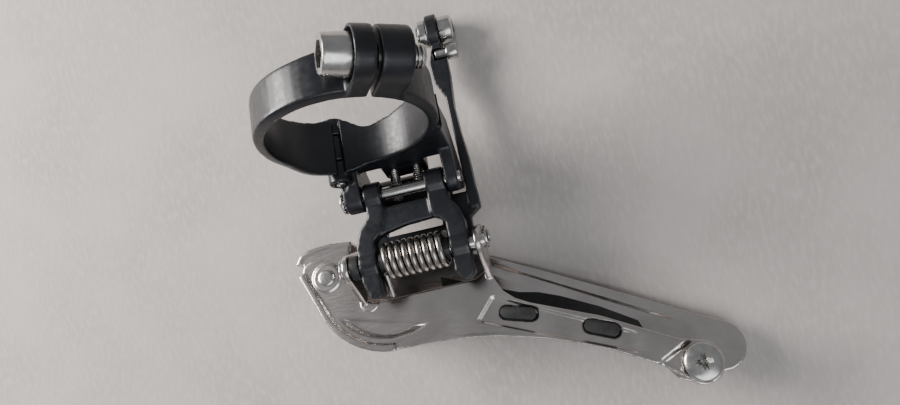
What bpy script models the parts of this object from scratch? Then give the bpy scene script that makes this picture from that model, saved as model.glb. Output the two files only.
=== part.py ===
"""Front derailleur with a hinged band clamp, made of separate pieces that fit and move.

Lengths below are millimetres and MM turns them into metres. The design frame has its origin at the
centre of the clamp bore: +X points to the rear of the bicycle, +Y up along the seat tube and +Z to the
bicycle's left. Every piece hangs from one empty, which lays the derailleur on its drive side.
"""
import math

import bmesh
import bpy
from mathutils import Matrix, Vector

MM = 0.001
GAP = 0.3                                # air between pieces that touch
WELD = 1e-7

# Band clamp
BORE_RADIUS = 17.45                      # 34.9 mm seat tube
RING_RADIUS = 19.9
EAR_HALF_WIDTH = 5.7
BODY_RIM = ((37, 5.7, -5.7), (100, 6.2, -5.8), (143, 6.4, -5.7), (165, 5.2, -5.5), (180, 4.4, -5.6),
            (202, 7.4, -7.0))            # angle from +Z, top and bottom of the ring wall
BAND_RIM = ((208, 7.4, -7.4), (226, 6.4, -7.4), (250, 6.0, -6.1), (290, 4.6, -5.6), (340, 4.4, -5.8),
            (391, 5.7, -5.7))
BOLT_ANGLE = math.radians(30.6)          # from +Z towards +X
BOLT_HEIGHT = 23.8                       # bolt axis from the bore's centre
EAR_RADIUS = 5.8
EAR_SPLIT = (0.1, 0.9)                   # the gap between the ears, along the bolt
BOLT_HOLE = 2.8
BOLT_SHANK = 2.45
HINGE_ANGLE = math.radians(205)
HINGE_HEIGHT = 21.3
HINGE = Vector((HINGE_HEIGHT * math.sin(HINGE_ANGLE), 0, HINGE_HEIGHT * math.cos(HINGE_ANGLE)))
HINGE_PIN = 1.2
KNUCKLE_RADIUS = 2.9
KNUCKLE_SPAN = (-3.0, 3.4)               # the band's knuckle; the bracket's two stand above and below

# Parallelogram: pivots are (y, z), the links swing about X
LINK_LENGTH = 16.5
REST_LEAN = math.radians(7)
UPPER_INNER = Vector((-11.5, -24.5))
PIVOT_SHIFT = Vector((3.0, -9.0))        # from an inner pivot to the outer one
DOWN_LINK = Vector((-math.cos(REST_LEAN), -math.sin(REST_LEAN)))
LOWER_INNER = UPPER_INNER + LINK_LENGTH * DOWN_LINK
UPPER_OUTER = UPPER_INNER + PIVOT_SHIFT
LOWER_OUTER = LOWER_INNER + PIVOT_SHIFT
PIN_RADIUS = 1.5
PIN_HOLE = PIN_RADIUS + GAP

# Chain cage
CHAINRING_CENTRE = (0.0, -153.0)
INNER_EDGE_RADIUS = 104.8
OUTER_EDGE_RADIUS = 110.0
SHEET = 1.2
INNER_TOP = -36.0                        # face of the inner plate that looks at the frame
OUTER_TOP = -48.4
RIVET = (-21.5, -26.4)
REAR_SCREW = (64.0, -64.7)
RIVET_HOLE = 1.5
SCREW_HOLE = 2.3
SLOT_RADIUS = 1.7
CLIP_SLOTS = (((22.4, -44.6), (28.2, -46.2)), ((41.4, -51.8), (46.4, -53.9)))

# Limit screws, which stand upright beside the crossbar
LIMIT_X = (2.6, 8.6)
LIMIT_Z = -27.9
LIMIT_RADIUS = 1.4
LIMIT_SCREWS = (("high_limit_screw", LIMIT_X[0], -12.6), ("low_limit_screw", LIMIT_X[1], -11.6))

# Cable arm
ARM_SLOPE = math.radians(11)
ANCHOR = (29.5, -26.0)
CONVERTER = (22.6, -25.6)
CONVERTER_RADIUS = 1.3

# Return spring, round the inner lower pin
SPRING_TURNS = 9.5
SPRING_STEPS = 12                        # points a turn
SPRING_WIRE = 0.75                       # radius
SPRING_RADIUS = 3.8
SPRING_SPAN = (-3.3, 12.5)
SPRING_LEG = 7.8                         # how far the front leg reaches along the cage

# Three points of the drive side that touch the bench: two on the outer plate, one on the anchor
RESTS_ON = (Vector((0.0, -20.4, -49.6)), Vector((17.6, -26.1, -49.6)), Vector((21.0, 30.7, -30.4)))


# ---- outlines -------------------------------------------------------------------------------------

def arc(centre, radius, start, end, steps):
    """Points of an arc, angles in degrees."""
    angles = [math.radians(start + (end - start) * i / steps) for i in range(steps + 1)]
    return [(centre[0] + radius * math.cos(a), centre[1] + radius * math.sin(a)) for a in angles]


def circle(centre, radius, steps=24):
    return arc(centre, radius, 0, 360, steps)[:-1]


def hull(*circles, steps=20):
    """The outline of a band stretched round circles, each (u, v, radius)."""
    points = sorted({(round(u, 6), round(v, 6)) for cu, cv, r in circles
                     for u, v in circle((cu, cv), r, steps)})

    def half(ordered):
        chain = []
        for p in ordered:
            while len(chain) > 1:
                (ax, ay), (bx, by) = chain[-2:]
                if (bx - ax) * (p[1] - ay) - (by - ay) * (p[0] - ax) > 1e-9:
                    break
                chain.pop()
            chain.append(p)
        return chain[:-1]

    return half(points) + half(points[::-1])


def slot(start, end, radius, steps=12):
    return hull((*start, radius), (*end, radius), steps=steps)


# ---- solids: each returns a mesh in the design frame ---------------------------------------------

def axes(u, v, origin=(0, 0, 0)):
    """A frame whose columns are u, v and u x v."""
    u, v = Vector(u), Vector(v)
    matrix = Matrix((u, v, u.cross(v))).transposed().to_4x4()
    matrix.translation = Vector(origin) * MM
    return matrix


FACING_X = axes((0, 1, 0), (0, 0, 1))    # outlines in (y, z)
FACING_Y = axes((0, 0, 1), (1, 0, 0))    # outlines in (z, x)
FACING_Z = axes((1, 0, 0), (0, 1, 0))    # outlines in (x, y)
BOLT_OUT = Vector((math.sin(BOLT_ANGLE), 0, math.cos(BOLT_ANGLE)))
ACROSS_EARS = axes((0, 1, 0), BOLT_OUT)  # outlines in (y, distance from the bore), along the bolt


def link_axes(pivot):
    """Outlines in (x, distance down the link), thickness away from the frame."""
    return axes((1, 0, 0), (0, DOWN_LINK.x, DOWN_LINK.y), (0, pivot.x, pivot.y))


def bake(source, matrix):
    """The evaluated mesh of a curve or a modified object, welded, in the design frame."""
    bpy.context.view_layer.update()
    depsgraph = bpy.context.evaluated_depsgraph_get()
    mesh = bpy.data.meshes.new_from_object(source.evaluated_get(depsgraph))
    bpy.data.objects.remove(source)
    mesh.transform(matrix)
    body = bmesh.new()
    body.from_mesh(mesh)
    bmesh.ops.remove_doubles(body, verts=body.verts, dist=WELD)
    bmesh.ops.recalc_face_normals(body, faces=body.faces)
    body.to_mesh(mesh)
    body.free()
    return mesh


def prism(outline, low, high, matrix, holes=()):
    """A flat outline with holes, extruded from low to high along the frame's third axis."""
    curve = bpy.data.curves.new("outline", "CURVE")
    curve.dimensions = "2D"
    curve.fill_mode = "BOTH"
    curve.extrude = (high - low) / 2 * MM
    for loop in (outline, *holes):
        spline = curve.splines.new("POLY")
        spline.points.add(len(loop) - 1)
        spline.use_cyclic_u = True
        for point, (u, v) in zip(spline.points, loop):
            point.co = (u * MM, v * MM, 0, 1)
    source = bpy.data.objects.new("outline", curve)
    bpy.context.scene.collection.objects.link(source)
    return bake(source, matrix @ Matrix.Translation((0, 0, (low + high) / 2 * MM)))


def rod(start, end, radius, sides=24):
    """A cylinder between two points."""
    start, end = Vector(start) * MM, Vector(end) * MM
    body = bmesh.new()
    turn = (end - start).to_track_quat("Z", "Y").to_matrix().to_4x4()
    bmesh.ops.create_cone(
        body, cap_ends=True, segments=sides, radius1=radius * MM, radius2=radius * MM,
        depth=(end - start).length, matrix=Matrix.Translation((start + end) / 2) @ turn)
    mesh = bpy.data.meshes.new("rod")
    body.to_mesh(mesh)
    body.free()
    return mesh


def turned(profile, matrix, sides=28):
    """A profile of (radius, height) from the axis round to the axis, turned about the frame's Z."""
    mesh = bpy.data.meshes.new("profile")
    points = [(r * MM, 0, h * MM) for r, h in profile]
    mesh.from_pydata(points, [(i, i + 1) for i in range(len(points) - 1)], [])
    source = bpy.data.objects.new("profile", mesh)
    bpy.context.scene.collection.objects.link(source)
    screw = source.modifiers.new("turn", "SCREW")
    screw.axis = "Z"
    screw.steps = screw.render_steps = sides
    screw.use_merge_vertices = True
    screw.merge_threshold = 1e-6
    return bake(source, matrix)


def at(pivot, x=0.0):
    return (x, *pivot)


def along_x(pivot, radius, low, high, sides=24):
    return rod((low, *pivot), (high, *pivot), radius, sides=sides)


def along_z(place, radius, low, high, sides=24):
    return rod((*place, low), (*place, high), radius, sides)


def on_hinge(height):
    """A point of the clamp hinge's axis."""
    return HINGE + Vector((0, height, 0))


def upright(place):
    """A frame standing on the cage's plates."""
    return axes((1, 0, 0), (0, 1, 0), (*place, 0))


def across(pivot):
    """A frame whose third axis is the bicycle's X, at a pivot given as (y, z)."""
    return axes((0, 1, 0), (0, 0, 1), at(pivot))


def on_bolt(along):
    """A point of the clamp bolt's axis."""
    return BOLT_OUT * BOLT_HEIGHT + BOLT_OUT.cross(Vector((0, 1, 0))) * -along


# ---- pieces --------------------------------------------------------------------------------------

def collection(name):
    made = bpy.data.collections.new(name)
    bpy.context.scene.collection.children.link(made)
    return made


def finish(name, colour, roughness, metallic):
    made = bpy.data.materials.new(name)
    made.use_nodes = True
    shader = made.node_tree.nodes["Principled BSDF"]
    shader.inputs["Base Color"].default_value = (*colour, 1)
    shader.inputs["Roughness"].default_value = roughness
    shader.inputs["Metallic"].default_value = metallic
    return made


def piece(name, base, material, add=(), cut=(), pivot=(0, 0, 0)):
    """A named object at its pivot: a base solid with others joined to it and cut from it."""
    shift = Vector(pivot) * MM
    base.transform(Matrix.Translation(-shift))
    thing = bpy.data.objects.new(name, base)
    thing.location = shift
    thing.parent = LIE_DOWN
    base.materials.append(material)
    PARTS.objects.link(thing)
    for operation, solids in (("UNION", add), ("DIFFERENCE", cut)):
        for number, solid in enumerate(solids):
            tool = bpy.data.objects.new(f"{name}_{operation.lower()}_{number}", solid)
            tool.parent = LIE_DOWN
            tool.hide_render = True
            tool.display_type = "WIRE"
            CUTTERS.objects.link(tool)
            modifier = thing.modifiers.new(tool.name, "BOOLEAN")
            modifier.operation = operation
            modifier.object = tool
    base.shade_smooth()
    base.set_sharp_from_angle(angle=math.radians(35))
    return thing


def rim(stations, angle):
    """Top and bottom of the ring wall at an angle, eased between the stations."""
    for (a, *low), (b, *high) in zip(stations, stations[1:]):
        if angle <= b:
            ease = (1 - math.cos(math.pi * (angle - a) / (b - a))) / 2
            return [u + (v - u) * ease for u, v in zip(low, high)]
    return stations[-1][1:]


def ring_part(stations, step=6):
    """A piece of the clamp ring: a loft of upright sections whose height follows the stations."""
    first, last = stations[0][0], stations[-1][0]
    count = round((last - first) / step)
    body = bmesh.new()
    sections = []
    for i in range(count + 1):
        angle = first + (last - first) * i / count
        top, bottom = rim(stations, angle)
        turn = math.radians(angle)
        sections.append([
            body.verts.new((r * math.sin(turn) * MM, y * MM, r * math.cos(turn) * MM))
            for r, y in ((BORE_RADIUS - 0.4, bottom), (RING_RADIUS, bottom + 0.7), (RING_RADIUS, top - 0.7),
                         (BORE_RADIUS - 0.4, top))])
    for near, far in zip(sections, sections[1:]):
        for i in range(4):
            body.faces.new((near[i], near[i - 1], far[i - 1], far[i]))
    body.faces.new(sections[0])
    body.faces.new(sections[-1][::-1])
    bmesh.ops.recalc_face_normals(body, faces=body.faces)
    mesh = bpy.data.meshes.new("ring")
    body.to_mesh(mesh)
    body.free()
    return mesh


def bore_cutter():
    return rod((0, -20, 0), (0, 20, 0), BORE_RADIUS, sides=72)


def ear_outline():
    foot = 15.0
    side = EAR_HALF_WIDTH - 0.1
    return [(-side, foot), (side, foot)] + arc((0, BOLT_HEIGHT), EAR_RADIUS, 0, 180, 14)


def make_bracket_body():
    lug = hull((*UPPER_INNER, 3.4), (*UPPER_OUTER, 3.3), (-0.5, -21.3, 3.6))
    shelf = [(-23.4, -9.7), (-17.0, -9.7), (-17.0, 6.0), (-7.0, 19.6), (-9.5, 18.8), (-23.4, 18.8)]
    screw_block = [(-6.0, -30.7), (2.6, -30.7), (2.6, -22.0), (-5.0, -22.0)]
    low, high = KNUCKLE_SPAN
    piece(
        "bracket_body", ring_part(BODY_RIM), PAINT,
        add=[
            prism(ear_outline(), EAR_SPLIT[1], 7.4, ACROSS_EARS),
            prism(shelf, -5.4, 3.2, FACING_Y),
            prism(lug, -9.7, -5.2, FACING_X),
            prism(lug, 15.8, 18.8, FACING_X),
            prism(screw_block, 0.0, 11.2, FACING_X),
            rod(on_hinge(-8.6), on_hinge(low - GAP), KNUCKLE_RADIUS),
            rod(on_hinge(high + GAP), on_hinge(8.2), KNUCKLE_RADIUS),
        ],
        cut=[
            bore_cutter(),
            rod(on_hinge(low - GAP), on_hinge(high + GAP), KNUCKLE_RADIUS + 0.5),
            rod(on_hinge(-10), on_hinge(10), HINGE_PIN + GAP, sides=16),
            rod(on_bolt(-6), on_bolt(12), BOLT_HOLE, sides=20),
            *(along_x(pivot, PIN_HOLE, -12, 22, sides=20) for pivot in (UPPER_INNER, UPPER_OUTER)),
            *(rod((x, -8, LIMIT_Z), (x, 4, LIMIT_Z), LIMIT_RADIUS + GAP, sides=16) for x in LIMIT_X),
        ])


def make_clamp_band():
    low, high = KNUCKLE_SPAN
    piece(
        "clamp_band", ring_part(BAND_RIM), PAINT,
        add=[
            prism(ear_outline(), -4.3, EAR_SPLIT[0], ACROSS_EARS),
            rod(on_hinge(low), on_hinge(high), KNUCKLE_RADIUS),
        ],
        cut=[
            bore_cutter(),
            rod(on_bolt(-16), on_bolt(-1.9), 5.0, sides=28),
            rod(on_bolt(-6), on_bolt(3), BOLT_HOLE, sides=20),
            rod(on_hinge(-10), on_hinge(low), KNUCKLE_RADIUS + 0.5),
            rod(on_hinge(high), on_hinge(10), KNUCKLE_RADIUS + 0.5),
            rod(on_hinge(-10), on_hinge(10), HINGE_PIN + GAP, sides=16),
        ], pivot=HINGE)
    piece("clamp_hinge_pin", rod(on_hinge(-8.8), on_hinge(8.4), HINGE_PIN, sides=16), STEEL, pivot=HINGE)


def make_clamp_bolt():
    along_bolt = axes((0, 1, 0), BOLT_OUT, BOLT_OUT * BOLT_HEIGHT)
    profile = [(0, -9.6), (3.5, -9.6), (3.9, -9.2), (4.3, -5.2), (4.2, -3.4), (BOLT_SHANK, -3.4),
               (BOLT_SHANK, 10.0), (2.0, 10.6), (0, 10.6)]
    piece("clamp_bolt", turned(profile, along_bolt), STEEL,
          cut=[rod(on_bolt(-12), on_bolt(-6.4), 2.9, sides=6)], pivot=on_bolt(0))
    washer = prism(circle((0, 0), 4.55, 28), -3.1, -2.2, along_bolt, holes=[circle((0, 0), BOLT_HOLE, 20)])
    piece("clamp_washer", washer, STEEL, pivot=on_bolt(0))


def make_inner_link():
    """The H-shaped link nearest the frame: two arms, knuckles at both pins and a crossbar."""
    frame = link_axes(UPPER_INNER)
    left = [(-4.9, -1), (-0.6, -1), (-0.6, 5), (-2.6, 9.5), (-4.4, 11.5), (-4.4, 24)]
    left += [(-5.2, 25.2), (-7.6, 24.6), (-9.0, 21), (-9.0, 12), (-7.6, 8.2), (-4.9, 5.2)]
    right = [(10.7, -1), (15.4, -1), (15.8, 5), (17.4, 7.5), (18.3, 11), (18.3, 23.6), (17.0, 24.8),
             (15.0, 24.6), (13.6, 22.5), (13.6, 10.5), (10.7, 7.4)]
    bar = [(-3.0, 3.6), (13.0, 3.6), (13.6, 10.0), (11.0, 8.6), (4.0, 8.9), (-1.0, 9.8), (-5.5, 11.5)]
    piece(
        "inner_link", prism(left, -2.3, 2.3, frame), PAINT,
        add=[
            prism(right, -2.3, 2.3, frame),
            prism(bar, -1.7, 1.7, frame),
            along_x(UPPER_INNER, 3.4, -4.9, -0.6),
            along_x(UPPER_INNER, 3.4, 10.7, 15.4),
            along_x(LOWER_INNER, 3.3, -9.0, -4.4),
            along_x(LOWER_INNER, 3.3, 13.6, 18.3),
        ],
        cut=[along_x(pivot, PIN_HOLE, -12, 22, sides=20) for pivot in (UPPER_INNER, LOWER_INNER)],
        pivot=at(UPPER_INNER))


def make_outer_link():
    """The link on the drive side, whose right cheek carries on upwards as the cable arm."""
    frame = link_axes(UPPER_OUTER)
    plate = [(-4.9, 0), (15.4, 0), (15.4, 4.4), (21.8, 4.4), (21.8, 9.0), (18.9, 11.0), (18.9, 16.5),
             (-9.0, 16.5), (-9.0, 11.0), (-4.9, 6.5)]
    window = [(-2.0, 6.0), (11.5, 6.0), (11.5, 11.5), (-3.5, 11.5)]
    up_arm = axes((1, 0, 0), (0, math.cos(ARM_SLOPE), math.sin(ARM_SLOPE)), at(UPPER_OUTER))
    arm = [(19.2, -8.5), (21.6, -8.5), (21.6, 4), (21.0, 11.5), (20.8, 18), (21.6, 27), (21.6, 32),
           (20.8, 34.5), (20.8, 37), (18.3, 37), (18.3, 34), (16.9, 30), (17.2, 25), (19.2, 20.5)]
    piece(
        "outer_link", prism(plate, -1.6, 1.6, frame, holes=[window]), PAINT,
        add=[
            along_x(UPPER_OUTER, 3.2, -4.9, 15.4),
            along_x(LOWER_OUTER, 3.1, -9.0, 18.9),
            prism(arm, -2.5, 2.5, up_arm),
            along_x(ANCHOR, 4.6, 18.1, 21.0),
        ],
        cut=[
            along_x(UPPER_OUTER, PIN_HOLE, -12, 19.0, sides=20),
            along_x(LOWER_OUTER, PIN_HOLE, -12, 22, sides=20),
            along_x(ANCHOR, BOLT_HOLE, 15, 24, sides=20),
            along_x(CONVERTER, CONVERTER_RADIUS + GAP, 18.4, 24, sides=16),
        ], pivot=at(UPPER_OUTER))


def make_cable_anchor():
    profile = [(0, 24.9), (2.9, 24.9), (3.5, 24.3), (3.5, 21.2), (BOLT_SHANK, 21.2), (BOLT_SHANK, 15.7),
               (2.0, 15.2), (0, 15.2)]
    piece("cable_anchor_bolt", turned(profile, across(ANCHOR)), STEEL,
          cut=[along_x(ANCHOR, 2.3, 22.4, 27, sides=6)], pivot=at(ANCHOR, 18))
    washer = prism(circle((0, 0), 3.6), 16.0, 17.9, across(ANCHOR), holes=[circle((0, 0), BOLT_HOLE, 20)])
    piece("cable_anchor_washer", washer, STEEL, pivot=at(ANCHOR, 18))
    piece("cable_converter", along_x(CONVERTER, CONVERTER_RADIUS, 19.0, 24.8, sides=16), STEEL,
          add=[along_x(CONVERTER, 2.0, 22.0, 24.8, sides=16)], pivot=at(CONVERTER, 20))


def make_pins():
    """Each pin has a groove at its clip end; side is 1 where that end points to the front."""
    spans = {
        "inner_upper_pin": (UPPER_INNER, 1, -11.3, 19.4),
        "outer_upper_pin": (UPPER_OUTER, 1, -11.3, 18.7),
        "inner_lower_pin": (LOWER_INNER, 1, -14.6, 21.9),
        "outer_lower_pin": (LOWER_OUTER, -1, -12.9, 22.4),
    }
    for name, (pivot, side, front, rear) in spans.items():
        low, high = sorted((front * side, rear * side))
        profile = [(0, high), (PIN_RADIUS - 0.3, high), (PIN_RADIUS, high - 0.3), (PIN_RADIUS, low + 1.3),
                   (1.1, low + 1.3), (1.1, low + 0.5), (PIN_RADIUS, low + 0.5), (PIN_RADIUS, low + 0.2),
                   (PIN_RADIUS - 0.2, low), (0, low)]
        frame = axes((0, 1, 0), (0, 0, side), at(pivot))
        piece(name, turned(profile, frame, sides=20), STEEL, pivot=at(pivot))
        clip = arc((0, 0), 2.9, 30, 330, 14) + arc((0, 0), 1.4, 330, 30, 12)
        piece(name.replace("pin", "clip"), prism(clip, low + 0.6, low + 1.2, frame), STEEL, pivot=at(pivot))


def make_spring():
    """The coil, with a straight leg at its front end, about the inner lower pin."""
    start, end = SPRING_SPAN
    points = [(start, -SPRING_LEG, -SPRING_RADIUS)]
    count = int(SPRING_TURNS * SPRING_STEPS)
    for i in range(count + 1):
        angle = math.pi + 2 * math.pi * i / SPRING_STEPS
        points.append((start + (end - start) * i / count, SPRING_RADIUS * math.cos(angle),
                       SPRING_RADIUS * math.sin(angle)))
    curve = bpy.data.curves.new("return_spring", "CURVE")
    curve.dimensions = "3D"
    curve.bevel_depth = SPRING_WIRE * MM
    curve.bevel_resolution = 1
    curve.use_fill_caps = True
    spline = curve.splines.new("POLY")
    spline.points.add(len(points) - 1)
    for point, place in zip(spline.points, points):
        point.co = (*(Vector(place) * MM), 1)
    source = bpy.data.objects.new("return_spring", curve)
    bpy.context.scene.collection.objects.link(source)
    coil = bake(source, Matrix.Translation(Vector(at(LOWER_INNER)) * MM))
    piece("return_spring", coil, STEEL, pivot=at(LOWER_INNER))


def make_bushes():
    sizes = {"spring_bush": (2.6, -4.1, 13.3), "front_pivot_washer": (3.0, -11.4, -9.3)}
    hole = circle((0, 0), PIN_HOLE, 20)
    for name, (radius, low, high) in sizes.items():
        bush = prism(circle((0, 0), radius), low, high, across(LOWER_INNER), holes=[hole])
        piece(name, bush, PLASTIC, pivot=at(LOWER_INNER))


def make_limit_screws():
    for name, x, tip in LIMIT_SCREWS:
        frame = axes((0, 0, 1), (1, 0, 0), (x, 0, LIMIT_Z))
        profile = [(0, 6.3), (1.9, 6.3), (2.2, 5.9), (2.2, 4.6), (LIMIT_RADIUS, 4.6),
                   (LIMIT_RADIUS, tip + 0.5), (1.0, tip), (0, tip)]
        cross = [rod((x - 1.4, 7, LIMIT_Z), (x + 1.4, 7, LIMIT_Z), 1.2, sides=4),
                 rod((x, 7, LIMIT_Z - 1.4), (x, 7, LIMIT_Z + 1.4), 1.2, sides=4)]
        piece(name, turned(profile, frame, sides=20), STEEL, cut=cross, pivot=(x, 0, LIMIT_Z))
    holes = [circle((LIMIT_Z, x), LIMIT_RADIUS + GAP, 16) for x in LIMIT_X]
    block = hull(*((LIMIT_Z, x, 2.3) for x in LIMIT_X))
    piece("limit_screw_insert", prism(block, 3.5, 4.3, FACING_Y, holes=holes), PLASTIC)


def inner_plate_outline():
    """Clockwise from the nose's top corner; the chain side follows the chainring."""
    tail = arc(REAR_SCREW, 5.1, 75, -112, 12)
    lower = [(CHAINRING_CENTRE[0] + INNER_EDGE_RADIUS * math.sin(math.radians(a)),
              CHAINRING_CENTRE[1] + INNER_EDGE_RADIUS * math.cos(math.radians(a)))
             for a in range(32, -3, -3)]
    nose = arc((-5.5, -28), 20, 267, 200, 8)
    top = [(-28.6, -24.8), (-27.6, -22.0), (-25.4, -20.8), (-12.3, -21.6), (-12.3, -34.0), (-10.0, -35.4),
           (16.8, -34.8), (19.9, -33.0), (19.9, -29.5), (20.6, -29.5), (21.2, -35.8), (22.8, -39.2),
           (25.4, -41.6), (28.7, -43.4), (44.2, -49.8), (60.5, -58.6)]
    return top + tail + lower + nose


def make_inner_cage_plate():
    holes = [circle(RIVET, RIVET_HOLE, 16), circle(REAR_SCREW, SCREW_HOLE, 20)]
    holes += [slot(*ends, SLOT_RADIUS) for ends in CLIP_SLOTS]
    lug = hull((*LOWER_INNER, 3.5), (*LOWER_OUTER, 3.4), (-35.0, -36.5, 0.7))
    lip = arc((-5.5, -28), 20.4, 268, 198, 8) + [(-29.0, -24.6), (-27.4, -24.1)]
    lip += arc((-5.5, -28), 18.6, 198, 268, 8)
    sheet = prism(inner_plate_outline(), INNER_TOP - SHEET, INNER_TOP, FACING_Z, holes)
    piece(
        "inner_cage_plate", sheet, CHROME,
        add=[
            prism(lug, -13.2, -11.7, FACING_X),
            prism(lug, 19.5, 21.0, FACING_X),
            prism(lip, INNER_TOP - SHEET - 0.4, INNER_TOP + 0.7, FACING_Z),
        ],
        cut=[along_x(pivot, PIN_HOLE, -16, 24, sides=20) for pivot in (LOWER_INNER, LOWER_OUTER)],
        pivot=at(LOWER_INNER))


def outer_plate_outline():
    tail = arc((71.2, -61.6), 6.2, 68, -95, 10)
    lower = [(CHAINRING_CENTRE[0] + OUTER_EDGE_RADIUS * math.sin(math.radians(a)),
              CHAINRING_CENTRE[1] + OUTER_EDGE_RADIUS * math.cos(math.radians(a)))
             for a in range(28, -4, -4)]
    nose = arc((-8.5, -22.5), 21, 262, 188, 8)
    top = [(-30.6, -20.6), (-29.2, -18.2), (-26.4, -17.0), (-20.5, -16.6), (-14.0, -17.3), (0, -20.4),
           (17.6, -26.1), (32.4, -33.7), (51.1, -43.8), (66.5, -52.3)]
    return top + tail + [(64.0, -69.4), (59.6, -67.5)] + lower + nose


def make_outer_cage_plate():
    wall = [(-30.2, -20.8), (-28.9, -18.5), (-26.2, -17.3), (-20.4, -16.9), (-14.2, -17.6),
            (-14.4, -18.8), (-20.5, -18.1), (-25.9, -18.5), (-27.9, -19.4), (-29.1, -21.2)]
    flange = hull((*RIVET, 3.6), (-26.2, -20.0, 2.6), (-17.0, -19.6, 2.2))
    piece(
        "outer_cage_plate", prism(outer_plate_outline(), OUTER_TOP - SHEET, OUTER_TOP, FACING_Z,
                                  holes=[circle(REAR_SCREW, SCREW_HOLE, 20)]), CHROME,
        add=[
            prism(wall, OUTER_TOP - SHEET / 2, -37.5, FACING_Z),
            prism(flange, -38.8, -37.6, FACING_Z),
        ],
        cut=[along_z(RIVET, RIVET_HOLE, -40, -36, sides=16)], pivot=at(LOWER_INNER))


def make_cage_fasteners():
    rivet = [(0, -34.8), (1.6, -34.8), (2.2, -35.1), (2.2, -35.7), (1.2, -35.7), (1.2, -39.0), (2.0, -39.0),
             (1.7, -39.8), (0, -39.8)]
    piece("front_rivet", turned(rivet, upright(RIVET)), STEEL, pivot=(*RIVET, -36))
    screw = [(0, -33.6), (3.4, -33.6), (4.35, -34.4), (4.35, -35.7), (1.95, -35.7), (1.95, -49.0),
             (1.6, -49.4), (0, -49.4)]
    x, y = REAR_SCREW
    cross = [rod((x - 2.3, y, -33.4), (x + 2.3, y, -33.4), 1.0, sides=4),
             rod((x, y - 2.3, -33.4), (x, y + 2.3, -33.4), 1.0, sides=4)]
    piece("rear_screw", turned(screw, upright(REAR_SCREW)), STEEL, cut=cross, pivot=(x, y, -36))
    piece("rear_spacer", prism(circle(REAR_SCREW, 3.3), -48.1, -37.5, FACING_Z,
                               holes=[circle(REAR_SCREW, SCREW_HOLE, 20)]), STEEL, pivot=(x, y, -43))


def make_skid_plates():
    inner_edge = [(16, -43.0), (22.0, -42.6), (28.0, -45.6), (44, -51.8), (54, -57.4), (52.5, -60.6),
                  (40, -54.8), (28, -50.4), (17, -48.0)]
    clips = [prism(slot(*ends, SLOT_RADIUS - GAP), -38.2, -35.4, FACING_Z) for ends in CLIP_SLOTS]
    piece("inner_skid_plate", prism(inner_edge, -38.7, -37.5, FACING_Z), PLASTIC, add=clips,
          pivot=at(LOWER_INNER))
    outer_edge = [(6, -30.4), (17, -35.0), (26.0, -38.8), (30.7, -39.8), (36.0, -41.9), (45.2, -46.6),
                  (53.5, -51.9), (54.4, -54.6), (48.0, -52.6), (30.0, -44.2), (17.0, -38.8), (6.5, -34.8)]
    piece("outer_skid_plate", prism(outer_edge, OUTER_TOP + GAP, OUTER_TOP + 1.7, FACING_Z), PLASTIC,
          pivot=at(LOWER_INNER))


def lay_down():
    """Turns the whole so that its three rest points are level, then stands its box on the origin."""
    first, second, third = RESTS_ON
    up = (second - first).cross(third - first).normalized()
    LIE_DOWN.rotation_mode = "QUATERNION"
    LIE_DOWN.rotation_quaternion = up.rotation_difference(Vector((0, 0, 1)))
    bpy.context.view_layer.update()
    depsgraph = bpy.context.evaluated_depsgraph_get()
    corners = [thing.matrix_world @ vertex.co for thing in PARTS.objects if thing.type == "MESH"
               for vertex in thing.evaluated_get(depsgraph).data.vertices]
    low = Vector(min(c[i] for c in corners) for i in range(3))
    high = Vector(max(c[i] for c in corners) for i in range(3))
    LIE_DOWN.location = -Vector(((low.x + high.x) / 2, (low.y + high.y) / 2, low.z))


for old in list(bpy.data.objects):
    bpy.data.objects.remove(old)
PARTS = collection("front_derailleur")
CUTTERS = collection("cutters")
LIE_DOWN = bpy.data.objects.new("lie_down", None)
PARTS.objects.link(LIE_DOWN)

PAINT = finish("black_paint", (0.015, 0.016, 0.02), 0.35, 0.2)
STEEL = finish("steel", (0.55, 0.55, 0.54), 0.25, 1.0)
CHROME = finish("cage_metal", (0.46, 0.44, 0.42), 0.28, 1.0)
PLASTIC = finish("black_plastic", (0.02, 0.02, 0.02), 0.55, 0.0)

make_bracket_body()
make_clamp_band()
make_clamp_bolt()
make_inner_link()
make_outer_link()
make_cable_anchor()
make_pins()
make_spring()
make_bushes()
make_limit_screws()
make_inner_cage_plate()
make_outer_cage_plate()
make_cage_fasteners()
make_skid_plates()

lay_down()
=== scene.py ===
"""Looks of the front derailleur: rounded castings, pressed plates, turned fasteners and a coiled spring.

Shapes are worked out in the design frame of the part, in millimetres: the origin is the centre of the
clamp bore, +X points to the rear of the bicycle, +Y up along the seat tube, +Z to the bicycle's left.
"""
import math

import bmesh
import bpy
from mathutils import Matrix, Vector


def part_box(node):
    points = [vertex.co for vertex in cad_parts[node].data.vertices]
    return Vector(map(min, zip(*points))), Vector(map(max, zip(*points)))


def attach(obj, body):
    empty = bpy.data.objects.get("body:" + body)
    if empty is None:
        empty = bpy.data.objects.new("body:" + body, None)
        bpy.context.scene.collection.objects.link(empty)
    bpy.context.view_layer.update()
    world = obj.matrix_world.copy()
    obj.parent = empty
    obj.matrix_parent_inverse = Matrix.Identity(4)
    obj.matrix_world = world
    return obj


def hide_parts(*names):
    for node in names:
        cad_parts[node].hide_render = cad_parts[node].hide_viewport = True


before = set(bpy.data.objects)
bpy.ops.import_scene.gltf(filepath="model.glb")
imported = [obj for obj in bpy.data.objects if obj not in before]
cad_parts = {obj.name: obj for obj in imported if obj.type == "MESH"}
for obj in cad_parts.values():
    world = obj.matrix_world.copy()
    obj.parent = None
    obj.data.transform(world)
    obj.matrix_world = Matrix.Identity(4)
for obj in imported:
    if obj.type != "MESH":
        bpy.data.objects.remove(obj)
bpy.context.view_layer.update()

MM = 0.001

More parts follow.
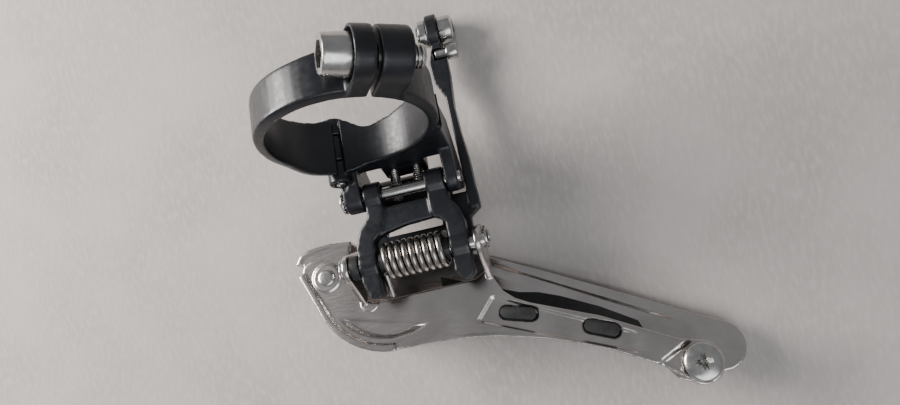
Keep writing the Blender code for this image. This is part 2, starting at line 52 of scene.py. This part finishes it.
# The way the derailleur lies: three points of its drive side that touch the bench
RESTS_ON = (Vector((0.0, -20.4, -49.6)), Vector((17.6, -26.1, -49.6)), Vector((21.0, 30.7, -30.4)))
SPACER_MIDDLE = Vector((64.0, -64.7, -42.8))

# Driving sizes, as in the CAD
BOLT_ANGLE = math.radians(30.6)
BOLT_HEIGHT = 23.8
UPPER_INNER = Vector((-11.5, -24.5))
PIVOT_SHIFT = Vector((3.0, -9.0))
LINK_LENGTH = 16.5
REST_LEAN = math.radians(7)
DOWN_LINK = Vector((-math.cos(REST_LEAN), -math.sin(REST_LEAN)))
LOWER_INNER = UPPER_INNER + LINK_LENGTH * DOWN_LINK
UPPER_OUTER = UPPER_INNER + PIVOT_SHIFT
LOWER_OUTER = LOWER_INNER + PIVOT_SHIFT
PIN_RADIUS = 1.5
ANCHOR = (29.5, -26.0)
CONVERTER = (22.6, -25.6)
LIMIT_X = (2.6, 8.6)
LIMIT_Z = -27.9
CHAINRING_CENTRE = (0.0, -153.0)
NOSE_CENTRE = (-5.5, -28.0)
PAD = (-11.1, -35.2)
RIVET = (-21.5, -26.4)
REAR_SCREW = (64.0, -64.7)
BOLT_SHANK = 2.45
PIN_HOLE = 1.8


def design_matrix():
    """From design millimetres to the frame's metres: the lying-down turn, placed by the rear spacer."""
    first, second, third = RESTS_ON
    up = (second - first).cross(third - first).normalized()
    turn = up.rotation_difference(Vector((0, 0, 1))).to_matrix()
    low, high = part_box("rear_spacer")
    shift = (Vector(low) + Vector(high)) / 2 - turn @ SPACER_MIDDLE * MM
    matrix = (turn * MM).to_4x4()
    matrix.translation = shift
    return matrix


DESIGN = design_matrix()
TO_DESIGN = DESIGN.inverted()


# ---- materials -----------------------------------------------------------------------------------

class Nodes:
    """A material's node tree, built a node at a time."""

    def __init__(self, name):
        self.material = bpy.data.materials.new(name)
        self.material.use_nodes = True
        self.tree = self.material.node_tree
        self.shader = self.tree.nodes["Principled BSDF"]
        self.place = self.node("ShaderNodeTexCoord").outputs["Object"]

    def node(self, kind, **values):
        made = self.tree.nodes.new(kind)
        for key, value in values.items():
            setattr(made, key, value)
        return made

    def link(self, source, target):
        self.tree.links.new(source, target)

    def noise(self, scale, detail=4.0, stretch=(1, 1, 1), roughness=0.5):
        """Noise with its scale in features a millimetre."""
        mapping = self.node("ShaderNodeMapping")
        mapping.inputs["Scale"].default_value = [s * scale / MM for s in stretch]
        self.link(self.place, mapping.inputs["Vector"])
        made = self.node("ShaderNodeTexNoise")
        made.inputs["Scale"].default_value = 1.0
        made.inputs["Detail"].default_value = detail
        made.inputs["Roughness"].default_value = roughness
        self.link(mapping.outputs["Vector"], made.inputs["Vector"])
        return made.outputs["Fac"]

    def ramp(self, source, low, high, start=0.35, end=0.65):
        """A colour or grey between two values as the source goes from start to end."""
        made = self.node("ShaderNodeValToRGB")
        made.color_ramp.elements[0].position = start
        made.color_ramp.elements[1].position = end
        for element, value in zip(made.color_ramp.elements, (low, high)):
            element.color = (*value, 1) if isinstance(value, tuple) else (value, value, value, 1)
        self.link(source, made.inputs["Fac"])
        return made.outputs["Color"]

    def mix(self, factor, first, second, blend="MIX"):
        made = self.node("ShaderNodeMix", data_type="RGBA", blend_type=blend)
        self.link(factor, made.inputs["Factor"])
        for value, target in ((first, made.inputs["A"]), (second, made.inputs["B"])):
            if isinstance(value, tuple):
                target.default_value = (*value, 1)
            else:
                self.link(value, target)
        return made.outputs["Result"]

    def bump(self, *heights):
        """Chains heights of (source, strength, distance in mm) into the shader's normal."""
        normal = None
        for source, strength, distance in heights:
            made = self.node("ShaderNodeBump")
            made.inputs["Strength"].default_value = strength
            made.inputs["Distance"].default_value = distance * MM
            self.link(source, made.inputs["Height"])
            if normal:
                self.link(normal, made.inputs["Normal"])
            normal = made.outputs["Normal"]
        self.link(normal, self.shader.inputs["Normal"])

    def set(self, **values):
        for key, value in values.items():
            self.shader.inputs[key.replace("_", " ")].default_value = value
        return self


def black_finish():
    """Satin black anodising with a faint blue cast, finely blasted."""
    m = Nodes("black_finish").set(Metallic=0.0, IOR=1.5)
    tone = m.ramp(m.noise(0.25, 3), (0.006, 0.007, 0.0095), (0.011, 0.0125, 0.016))
    m.link(tone, m.shader.inputs["Base Color"])
    m.link(m.ramp(m.noise(0.8, 5), 0.30, 0.40), m.shader.inputs["Roughness"])
    m.bump((m.noise(7, 2), 0.06, 0.02))
    return m.material


def cage_metal():
    """Polished plate with a warm grey tint, soft drawn grain along its length and dull patches."""
    m = Nodes("cage_metal").set(Metallic=1.0)
    m.link(m.ramp(m.noise(0.10, 3), (0.50, 0.46, 0.44), (0.62, 0.575, 0.55)), m.shader.inputs["Base Color"])
    grain = m.noise(1.0, 4, stretch=(0.10, 3, 3))
    m.link(m.mix(m.noise(0.15, 3), m.ramp(grain, 0.17, 0.21), m.ramp(grain, 0.23, 0.30)),
           m.shader.inputs["Roughness"])
    m.bump((grain, 0.02, 0.01))
    return m.material


def steel(name, low, high, rough):
    """Bright plated or turned steel."""
    m = Nodes(name).set(Metallic=1.0)
    m.link(m.ramp(m.noise(0.4, 3), low, high), m.shader.inputs["Base Color"])
    m.link(m.ramp(m.noise(0.9, 4), rough, rough + 0.08), m.shader.inputs["Roughness"])
    m.bump((m.noise(1.2, 2), 0.02, 0.01))
    return m.material


def black_plastic():
    """Moulded plastic with a fine matt grain."""
    m = Nodes("black_plastic").set(Metallic=0.0, IOR=1.5)
    tone = m.ramp(m.noise(0.5, 3), (0.008, 0.008, 0.008), (0.015, 0.015, 0.016))
    m.link(tone, m.shader.inputs["Base Color"])
    m.link(m.ramp(m.noise(1.5, 4), 0.42, 0.62), m.shader.inputs["Roughness"])
    m.bump((m.noise(5, 3), 0.15, 0.02))
    return m.material


def card_floor():
    """Pale grey pressed card."""
    m = Nodes("bench_card").set(Metallic=0.0)
    tone = m.ramp(m.noise(0.03, 4), (0.40, 0.365, 0.345), (0.47, 0.435, 0.415))
    fibre = m.ramp(m.noise(0.9, 6, stretch=(1, 0.35, 1)), 0.0, 1.0, 0.45, 0.75)
    m.link(m.mix(fibre, tone, (0.50, 0.465, 0.445)), m.shader.inputs["Base Color"])
    m.shader.inputs["Roughness"].default_value = 0.9
    m.bump((m.noise(0.7, 5, stretch=(1, 0.5, 1)), 0.35, 0.15))
    return m.material


BLACK = black_finish()
CAGE = cage_metal()
STEEL = steel("steel", (0.46, 0.45, 0.43), (0.58, 0.57, 0.55), 0.20)
SPRING = steel("spring_steel", (0.33, 0.30, 0.28), (0.44, 0.41, 0.38), 0.20)
PLASTIC = black_plastic()


# ---- shapes --------------------------------------------------------------------------------------

def axes(u, v, origin=(0, 0, 0)):
    u, v = Vector(u), Vector(v)
    matrix = Matrix((u, v, u.cross(v))).transposed().to_4x4()
    matrix.translation = Vector(origin)
    return matrix


BOLT_OUT = Vector((math.sin(BOLT_ANGLE), 0, math.cos(BOLT_ANGLE)))
ALONG_BOLT = axes((0, 1, 0), BOLT_OUT, BOLT_OUT * BOLT_HEIGHT)


def along_x(pivot, side=1):
    return axes((0, 1, 0), (0, 0, side), (0, *pivot))


def new_object(name, mesh):
    thing = bpy.data.objects.new(name, mesh)
    bpy.context.scene.collection.objects.link(thing)
    return thing


def modifier(thing, kind, **values):
    made = thing.modifiers.new(kind.lower(), kind)
    for key, value in values.items():
        setattr(made, key, value)
    return made


def settle(thing):
    """Applies the modifiers and returns the bare mesh."""
    bpy.context.view_layer.update()
    depsgraph = bpy.context.evaluated_depsgraph_get()
    mesh = bpy.data.meshes.new_from_object(thing.evaluated_get(depsgraph))
    bpy.data.objects.remove(thing)
    return mesh


def show(name, mesh, material, body, replaced=(), smooth=35):
    """Puts a design-frame mesh in its place, gives it its material and makes it ride."""
    mesh.transform(DESIGN)
    mesh.materials.clear()
    mesh.materials.append(material)
    mesh.shade_smooth()
    if smooth:
        mesh.set_sharp_from_angle(angle=math.radians(smooth))
    thing = new_object(name, mesh)
    if body:
        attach(thing, body)
    if replaced:
        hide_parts(*replaced)
    return thing


def node_mesh(node):
    """A copy of a CAD node's mesh in design millimetres, welded."""
    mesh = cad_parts[node].data.copy()
    mesh.transform(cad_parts[node].matrix_world)
    mesh.transform(TO_DESIGN)
    body = bmesh.new()
    body.from_mesh(mesh)
    bmesh.ops.remove_doubles(body, verts=body.verts, dist=0.001)
    body.to_mesh(mesh)
    body.free()
    mesh.materials.clear()
    return mesh


def soften(mesh, voxel, rounds):
    """Turns hard edges into the small radii of a forging or a pressing."""
    thing = new_object("soften", mesh)
    modifier(thing, "REMESH", mode="VOXEL", voxel_size=voxel)
    modifier(thing, "SMOOTH", factor=0.6, iterations=rounds)
    return settle(thing)


def bevelled(mesh, width, segments=3, angle=30):
    thing = new_object("bevel", mesh)
    modifier(thing, "BEVEL", width=width, segments=segments, limit_method="ANGLE",
             angle_limit=math.radians(angle), harden_normals=False)
    return settle(thing)


def turned(profile, matrix, sides=64):
    """A profile of (radius, height), from the axis round to the axis, turned about the frame's Z."""
    mesh = bpy.data.meshes.new("turned")
    body = bmesh.new()
    rings = []
    for radius, height in profile:
        if radius < 1e-6:
            rings.append([body.verts.new((0, 0, height))])
        else:
            rings.append([body.verts.new((radius * math.cos(a), radius * math.sin(a), height))
                          for a in (2 * math.pi * i / sides for i in range(sides))])
    for upper, lower in zip(rings, rings[1:]):
        for i in range(sides):
            j = (i + 1) % sides
            corners = [upper[i % len(upper)], upper[j % len(upper)],
                       lower[j % len(lower)], lower[i % len(lower)]]
            body.faces.new(list(dict.fromkeys(corners)))
    bmesh.ops.recalc_face_normals(body, faces=body.faces)
    body.to_mesh(mesh)
    body.free()
    mesh.transform(matrix)
    return mesh


def rounded(profile, radius=0.15, steps=3):
    """The profile with every corner but its two ends turned into a small curve."""
    points = [profile[0]]
    for before, corner, after in zip(profile, profile[1:], profile[2:]):
        corner = Vector(corner)
        back, ahead = Vector(before) - corner, Vector(after) - corner
        reach = min(radius, back.length / 2.2, ahead.length / 2.2)
        start, end = corner + back.normalized() * reach, corner + ahead.normalized() * reach
        for i in range(steps + 1):
            t = i / steps
            points.append(tuple(start * (1 - t) ** 2 + corner * 2 * t * (1 - t) + end * t * t))
    return points + [profile[-1]]


def ring(inner, outer, low, high, matrix, sides=64, corner=0.12):
    """A washer, bush or tube with softened edges."""
    middle = (low + high) / 2
    section = [(inner, middle), (inner, high), (outer, high), (outer, low), (inner, low), (inner, middle)]
    profile = rounded(section, corner)
    mesh = turned(profile, matrix, sides)
    body = bmesh.new()
    body.from_mesh(mesh)
    bmesh.ops.remove_doubles(body, verts=body.verts, dist=1e-4)
    bmesh.ops.recalc_face_normals(body, faces=body.faces)
    body.to_mesh(mesh)
    body.free()
    return mesh


def prism(outline, low, high, matrix):
    """A flat outline given as (u, v), extruded along the frame's third axis."""
    mesh = bpy.data.meshes.new("prism")
    body = bmesh.new()
    bottom = [body.verts.new((u, v, low)) for u, v in outline]
    top = [body.verts.new((u, v, high)) for u, v in outline]
    body.faces.new(bottom[::-1])
    body.faces.new(top)
    for i in range(len(outline)):
        body.faces.new((bottom[i - 1], bottom[i], top[i], top[i - 1]))
    bmesh.ops.recalc_face_normals(body, faces=body.faces)
    body.to_mesh(mesh)
    body.free()
    mesh.transform(matrix)
    return mesh


def carve(mesh, *cutters):
    """Cuts solids from a mesh."""
    thing = new_object("carved", mesh)
    tools = []
    for cutter in cutters:
        tools.append(new_object("cutter", cutter))
        modifier(thing, "BOOLEAN", operation="DIFFERENCE", object=tools[-1], solver="EXACT")
    mesh = settle(thing)
    for tool in tools:
        bpy.data.objects.remove(tool)
    return mesh


def polygon(radius, sides, turn=0.0):
    angles = [turn + 2 * math.pi * i / sides for i in range(sides)]
    return [(radius * math.cos(a), radius * math.sin(a)) for a in angles]


def cross_cutter(centre, depth, top, reach, width, matrix):
    """Two tapering blades, as a cross-head driver leaves them."""
    cutters = []
    for turn in (0, math.pi / 2):
        mesh = bpy.data.meshes.new("blade")
        body = bmesh.new()
        bmesh.ops.create_cone(body, cap_ends=True, segments=4, radius1=0.25, radius2=1.0, depth=1.0)
        bmesh.ops.rotate(body, verts=body.verts, matrix=Matrix.Rotation(math.pi / 4, 3, "Z"))
        for vertex in body.verts:
            vertex.co.x *= reach * math.sqrt(2)
            vertex.co.y *= width * math.sqrt(2)
            vertex.co.z = top - (0.5 - vertex.co.z) * depth
        bmesh.ops.rotate(body, verts=body.verts, matrix=Matrix.Rotation(turn, 3, "Z"))
        bmesh.ops.translate(body, verts=body.verts, vec=(*centre, 0))
        body.to_mesh(mesh)
        body.free()
        mesh.transform(matrix)
        cutters.append(mesh)
    return cutters


def thread(radius, pitch, depth, low, high, matrix, sides=48):
    """A rod with a helical V groove, closed at both ends."""
    per_pitch = 8
    count = round((high - low) / pitch * per_pitch)
    mesh = bpy.data.meshes.new("thread")
    body = bmesh.new()
    rows = []
    for k in range(count + 1):
        height = low + (high - low) * k / count
        fade = min(1.0, (count - k) / per_pitch, k / per_pitch)
        row = []
        for i in range(sides):
            phase = (height / pitch - i / sides) % 1.0
            groove = depth * fade * max(0.0, 1 - abs(phase - 0.5) * 2.6)
            r = radius - groove - (0.25 * (1 - min(1.0, (count - k) / 4)))
            a = 2 * math.pi * i / sides
            row.append(body.verts.new((r * math.cos(a), r * math.sin(a), height)))
        rows.append(row)
    for lower, upper in zip(rows, rows[1:]):
        for i in range(sides):
            body.faces.new((lower[i - 1], lower[i], upper[i], upper[i - 1]))
    body.faces.new(rows[0][::-1])
    body.faces.new(rows[-1])
    bmesh.ops.recalc_face_normals(body, faces=body.faces)
    body.to_mesh(mesh)
    body.free()
    mesh.transform(matrix)
    return mesh


def joined(*meshes):
    """Several closed bodies in one mesh."""
    body = bmesh.new()
    for mesh in meshes:
        body.from_mesh(mesh)
    mesh = bpy.data.meshes.new("joined")
    body.to_mesh(mesh)
    body.free()
    return mesh


# ---- the pieces ----------------------------------------------------------------------------------

def make_castings():
    """The black forgings keep the CAD's shape, with softened edges."""
    castings = (("bracket_body", "bracket", 0.25, 18), ("clamp_band", "band", 0.25, 22),
                ("inner_link", "inner_arm", 0.25, 18), ("outer_link", "outer_arm", 0.22, 6))
    for node, body, voxel, rounds in castings:
        mesh = soften(node_mesh(node), voxel, rounds)
        show(node + "_forging", mesh, BLACK, body, [node], smooth=0)


def between(value, start, end):
    """A smooth step from 0 at start to 1 at end."""
    t = max(0.0, min(1.0, (value - start) / (end - start)))
    return t * t * (3 - 2 * t)


def left_of(x, y, start, end, softness=0.5):
    """1 on the left of the line from start to end, 0 on its right, with a soft bend between."""
    (ax, ay), (bx, by) = start, end
    away = ((bx - ax) * (y - ay) - (by - ay) * (x - ax)) / math.hypot(bx - ax, by - ay)
    return between(away, -softness, softness)


def press_inner(x, y, z):
    """How far a place of the inner plate is pressed towards the frame.

    Raised: the boss round the rivet, a small round pad and the rolled lower edge. Sunk: the hollow that
    holds the slots, the apron under the crease and the step before the tail screw.
    """
    sheet = 1 - between(z, -34.6, -33.6)
    radius = math.hypot(x - CHAINRING_CENTRE[0], y - CHAINRING_CENTRE[1])
    below_crease = 1 - left_of(x, y, (-16.4, -38.5), (13.1, -45.8))
    apron = below_crease * (1 - between(x, 12.2, 13.4))
    hollow = 1 - left_of(x, y, (23.6, -41.9), (55.0, -57.2), 0.4)
    hollow *= left_of(x, y, (20.8, -47.6), (50.0, -59.6), 0.4)
    hollow *= between(x - 0.9 * (y + 45.8), 14.0, 15.6) * (1 - between(x, 49.0, 53.5))
    edge = (1 - between(radius, 105.0, 106.2)) * between(x, 2, 12)
    tail = (1 - left_of(x, y, (53.4, -64.0), (62.6, -59.4), 0.7)) * between(x, 50, 54)
    rim = between(math.hypot(x - NOSE_CENTRE[0], y - NOSE_CENTRE[1]), 15.6, 17.6)
    boss = 1 - between(math.hypot(x - RIVET[0], y - RIVET[1]), 3.3, 4.1)
    pad = 1 - between(math.hypot(x - PAD[0], y - PAD[1]), 1.9, 2.5)
    lift = 0.45 * boss + 0.3 * pad + 0.25 * edge
    return sheet * (lift - 0.6 * hollow - 0.7 * apron * (1 - rim) - 0.8 * tail)


def press_outer(x, y, z):
    """A long flute below a rounded upper edge."""
    sheet = 1 - between(z, -47.6, -46.6)
    along = (x - 17.6) * 0.87 - (y + 26.1) * 0.49
    across = (x - 17.6) * 0.49 + (y + 26.1) * 0.87
    flute = between(across, -4.6, -3.4) * (1 - between(across, -2.4, -1.2)) * between(along, 2, 8)
    return sheet * -0.45 * flute * (1 - between(along, 48, 56))


def make_cage_plates():
    for node, label, press in (("inner_cage_plate", "inner_plate_pressing", press_inner),
                               ("outer_cage_plate", "outer_plate_pressing", press_outer)):
        mesh = soften(node_mesh(node), 0.2, 12)
        for vertex in mesh.vertices:
            vertex.co.z += press(*vertex.co)
        thing = new_object("pressed", mesh)
        modifier(thing, "SMOOTH", factor=0.5, iterations=4)
        show(label, settle(thing), CAGE, "cage", [node], smooth=0)


def make_spring():
    """A coil of round wire round the bush, with a leg at its front end."""
    turns, per_turn, wire, radius = 9.5, 32, 0.75, 3.8
    start, end = -3.3, 12.5
    points = [(start, -7.8, -radius)]
    for i in range(int(turns * per_turn) + 1):
        angle = math.pi + 2 * math.pi * i / per_turn
        x = start + (end - start) * i / (turns * per_turn)
        points.append((x, radius * math.cos(angle), radius * math.sin(angle)))
    curve = bpy.data.curves.new("spring", "CURVE")
    curve.dimensions = "3D"
    curve.bevel_depth = wire
    curve.bevel_resolution = 5
    curve.use_fill_caps = True
    spline = curve.splines.new("POLY")
    spline.points.add(len(points) - 1)
    for point, place in zip(spline.points, points):
        point.co = (*place, 1)
    mesh = settle(new_object("spring", curve))
    mesh.transform(Matrix.Translation((0, *LOWER_INNER)))
    show("spring_coil", mesh, SPRING, "cage", ["return_spring"], smooth=60)


def make_clamp_fittings():
    head = rounded([(0, -9.6), (3.75, -9.6), (3.95, -9.1), (4.25, -5.2), (4.25, -3.4), (BOLT_SHANK, -3.4),
                    (BOLT_SHANK, 4.0), (0, 4.0)], 0.3)
    socket = prism(polygon(2.9, 6), -11, -6.4, ALONG_BOLT)
    bolt = carve(turned(head, ALONG_BOLT), socket)
    shank = thread(BOLT_SHANK, 0.8, 0.32, 3.9, 10.6, ALONG_BOLT)
    show("clamp_bolt_turned", joined(bolt, shank), STEEL, "bolt", ["clamp_bolt"])
    washer = ring(2.8, 4.55, -3.1, -2.2, ALONG_BOLT)
    show("clamp_washer_turned", washer, STEEL, "bolt", ["clamp_washer"])
    low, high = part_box("clamp_hinge_pin")
    middle = TO_DESIGN @ ((Vector(low) + Vector(high)) / 2)
    hinge = Vector((middle.x, 0, middle.z))
    up = axes((0, 0, 1), (1, 0, 0), hinge)
    pin = rounded([(0, 8.4), (1.2, 8.4), (1.2, -8.8), (0, -8.8)], 0.35)
    show("hinge_pin_turned", turned(pin, up, 32), STEEL, "bracket", ["clamp_hinge_pin"])


def make_cable_fittings():
    frame_x = along_x(ANCHOR)
    head = rounded([(0, 24.9), (2.9, 24.9), (3.5, 24.3), (3.5, 21.2), (BOLT_SHANK, 21.2),
                    (BOLT_SHANK, 19.0), (0, 19.0)], 0.2)
    socket = prism(polygon(2.3, 6), 22.4, 27, frame_x)
    shank = thread(BOLT_SHANK, 0.8, 0.3, 15.2, 19.1, frame_x)
    show("cable_bolt_turned", joined(carve(turned(head, frame_x), socket), shank), STEEL, "anchor_bolt",
         ["cable_anchor_bolt"])
    show("cable_washer_turned", ring(2.8, 3.6, 16.0, 17.9, frame_x), STEEL, "outer_arm",
         ["cable_anchor_washer"])
    post = rounded([(0, 24.8), (2.0, 24.8), (2.0, 22.0), (1.3, 22.0), (1.3, 19.0), (0, 19.0)], 0.25)
    show("cable_post_turned", turned(post, along_x(CONVERTER), 40), STEEL, "outer_arm",
         ["cable_converter"])


def make_pins():
    spans = {"inner_upper": (UPPER_INNER, 1, -11.3, 19.4, "bracket"),
             "outer_upper": (UPPER_OUTER, 1, -11.3, 18.7, "bracket"),
             "inner_lower": (LOWER_INNER, 1, -14.6, 21.9, "cage"),
             "outer_lower": (LOWER_OUTER, -1, -12.9, 22.4, "cage")}
    for name, (pivot, side, front, rear, body) in spans.items():
        low, high = sorted((front * side, rear * side))
        groove = [(PIN_RADIUS, low + 1.3), (1.1, low + 1.3), (1.1, low + 0.5), (PIN_RADIUS, low + 0.5)]
        profile = [(0, high), (PIN_RADIUS, high), *groove, (PIN_RADIUS, low), (0, low)]
        place = along_x(pivot, side)
        show(name + "_pin_turned", turned(rounded(profile, 0.25), place, 40), STEEL, body,
             [name + "_pin"])
        clip = bevelled(prism(clip_outline(), low + 0.6, low + 1.2, place), 0.12)
        show(name + "_clip_bent", clip, STEEL, body, [name + "_clip"])


def clip_outline():
    """An E clip: a C of sheet with three teeth that reach the pin's groove."""
    outer = [math.radians(30 + 300 * i / 40) for i in range(41)]
    inner = [math.radians(330 - 300 * i / 60) for i in range(61)]
    teeth = [1.45 + 0.6 * min(1, max(0, abs(math.sin(1.5 * (a - math.pi))) * 1.6 - 0.35)) for a in inner]
    return ([(2.9 * math.cos(a), 2.9 * math.sin(a)) for a in outer]
            + [(r * math.cos(a), r * math.sin(a)) for r, a in zip(teeth, inner)])


def make_limit_screws():
    for name, x, tip, body in (("high_limit_screw", LIMIT_X[0], -12.6, "high_screw"),
                               ("low_limit_screw", LIMIT_X[1], -11.6, "low_screw")):
        place = axes((0, 0, 1), (1, 0, 0), (x, 0, LIMIT_Z))
        head = rounded([(0, 6.3), (1.9, 6.3), (2.2, 5.9), (2.2, 4.6), (1.3, 4.6), (1.3, 3.0), (0, 3.0)], 0.2)
        cut = carve(turned(head, place, 48), *cross_cutter((0, 0), 1.6, 6.5, 1.45, 0.42, place))
        shank = thread(1.4, 0.6, 0.22, tip, 3.1, place, 32)
        show(name + "_turned", joined(cut, shank), STEEL, body, [name])
    show("limit_insert_moulded", bevelled(node_mesh("limit_screw_insert"), 0.12), PLASTIC, "bracket",
         ["limit_screw_insert"])


def make_cage_fittings():
    upright = axes((1, 0, 0), (0, 1, 0), (*RIVET, 0))
    rivet = rounded([(0, -34.8), (1.6, -34.85), (2.2, -35.1), (2.2, -35.7), (1.2, -35.7), (1.2, -39.0),
                     (2.0, -39.0), (1.7, -39.8), (0, -39.8)], 0.2)
    show("front_rivet_set", turned(rivet, upright, 48), STEEL, "cage", ["front_rivet"])
    upright = axes((1, 0, 0), (0, 1, 0), (*REAR_SCREW, 0))
    angles = [math.radians(a) for a in range(0, 91, 9)]
    dome = [(4.3 * math.sin(a), -34.6 + math.cos(a)) for a in angles]
    below = rounded([(4.3, -34.6), (4.3, -35.7), (1.8, -35.7), (1.8, -37.0), (0, -37.0)], 0.15)
    head = turned(dome + below, upright)
    head = carve(head, *cross_cutter((0, 0), 1.7, -33.4, 2.3, 0.62, upright))
    shank = thread(1.95, 0.7, 0.28, -49.4, -36.9, upright)
    show("rear_screw_turned", joined(head, shank), STEEL, "tail_screw", ["rear_screw"])
    show("rear_spacer_turned", ring(2.3, 3.3, -48.1, -37.5, upright, corner=0.3), STEEL, "cage",
         ["rear_spacer"])
    tube = along_x(LOWER_INNER)
    show("spring_bush_moulded", ring(PIN_HOLE, 2.6, -4.1, 13.3, tube), PLASTIC, "cage", ["spring_bush"])
    washer = ring(PIN_HOLE, 3.0, -11.4, -9.3, tube)
    show("front_washer_moulded", washer, PLASTIC, "cage", ["front_pivot_washer"])
    for node in ("inner_skid_plate", "outer_skid_plate"):
        show(node + "_moulded", bevelled(node_mesh(node), 0.18), PLASTIC, "cage", [node])


make_castings()
make_cage_plates()
make_spring()
make_clamp_fittings()
make_cable_fittings()
make_pins()
make_limit_screws()
make_cage_fittings()


# ---- floor, light and camera ---------------------------------------------------------------------

def make_floor():
    mesh = bpy.data.meshes.new("bench")
    body = bmesh.new()
    bmesh.ops.create_grid(body, x_segments=8, y_segments=8, size=1.5)
    body.to_mesh(mesh)
    body.free()
    mesh.materials.append(card_floor())
    new_object("bench", mesh)


def make_light(name, place, target, size, power, colour=(1, 1, 1)):
    lamp = bpy.data.lights.new(name, "AREA")
    lamp.shape = "RECTANGLE"
    lamp.size, lamp.size_y = size
    lamp.energy = power
    lamp.color = colour
    thing = bpy.data.objects.new(name, lamp)
    bpy.context.scene.collection.objects.link(thing)
    thing.location = place
    thing.rotation_euler = (Vector(target) - Vector(place)).to_track_quat("-Z", "Y").to_euler()


def make_camera():
    """Looks from the bicycle's left, from below and behind the bore."""
    right = Vector((0.96525, -0.18067, -0.18883))
    up = Vector((0.22684, 0.938, 0.26211))
    place = axes(right, up, (36.71, -65.8, 129.72))
    matrix = DESIGN @ place
    lens = bpy.data.cameras.new("camera")
    lens.sensor_width = 36
    lens.lens = 27.04
    lens.clip_start = 0.001
    thing = bpy.data.objects.new("camera", lens)
    bpy.context.scene.collection.objects.link(thing)
    thing.location = matrix.translation
    thing.rotation_euler = matrix.to_3x3().normalized().to_euler()
    bpy.context.scene.camera = thing


make_floor()
make_light("key", (-0.42, 0.22, 0.26), (0, 0, 0.02), (0.30, 0.22), 6.0, (1.0, 0.97, 0.94))
make_light("fill", (0.15, -0.30, 0.50), (0, 0, 0.02), (0.5, 0.4), 1.6, (0.93, 0.96, 1.0))
world = bpy.data.worlds.new("studio")
world.use_nodes = True
world.node_tree.nodes["Background"].inputs["Color"].default_value = (0.80, 0.82, 0.86, 1)
world.node_tree.nodes["Background"].inputs["Strength"].default_value = 0.34
bpy.context.scene.world = world
make_camera()
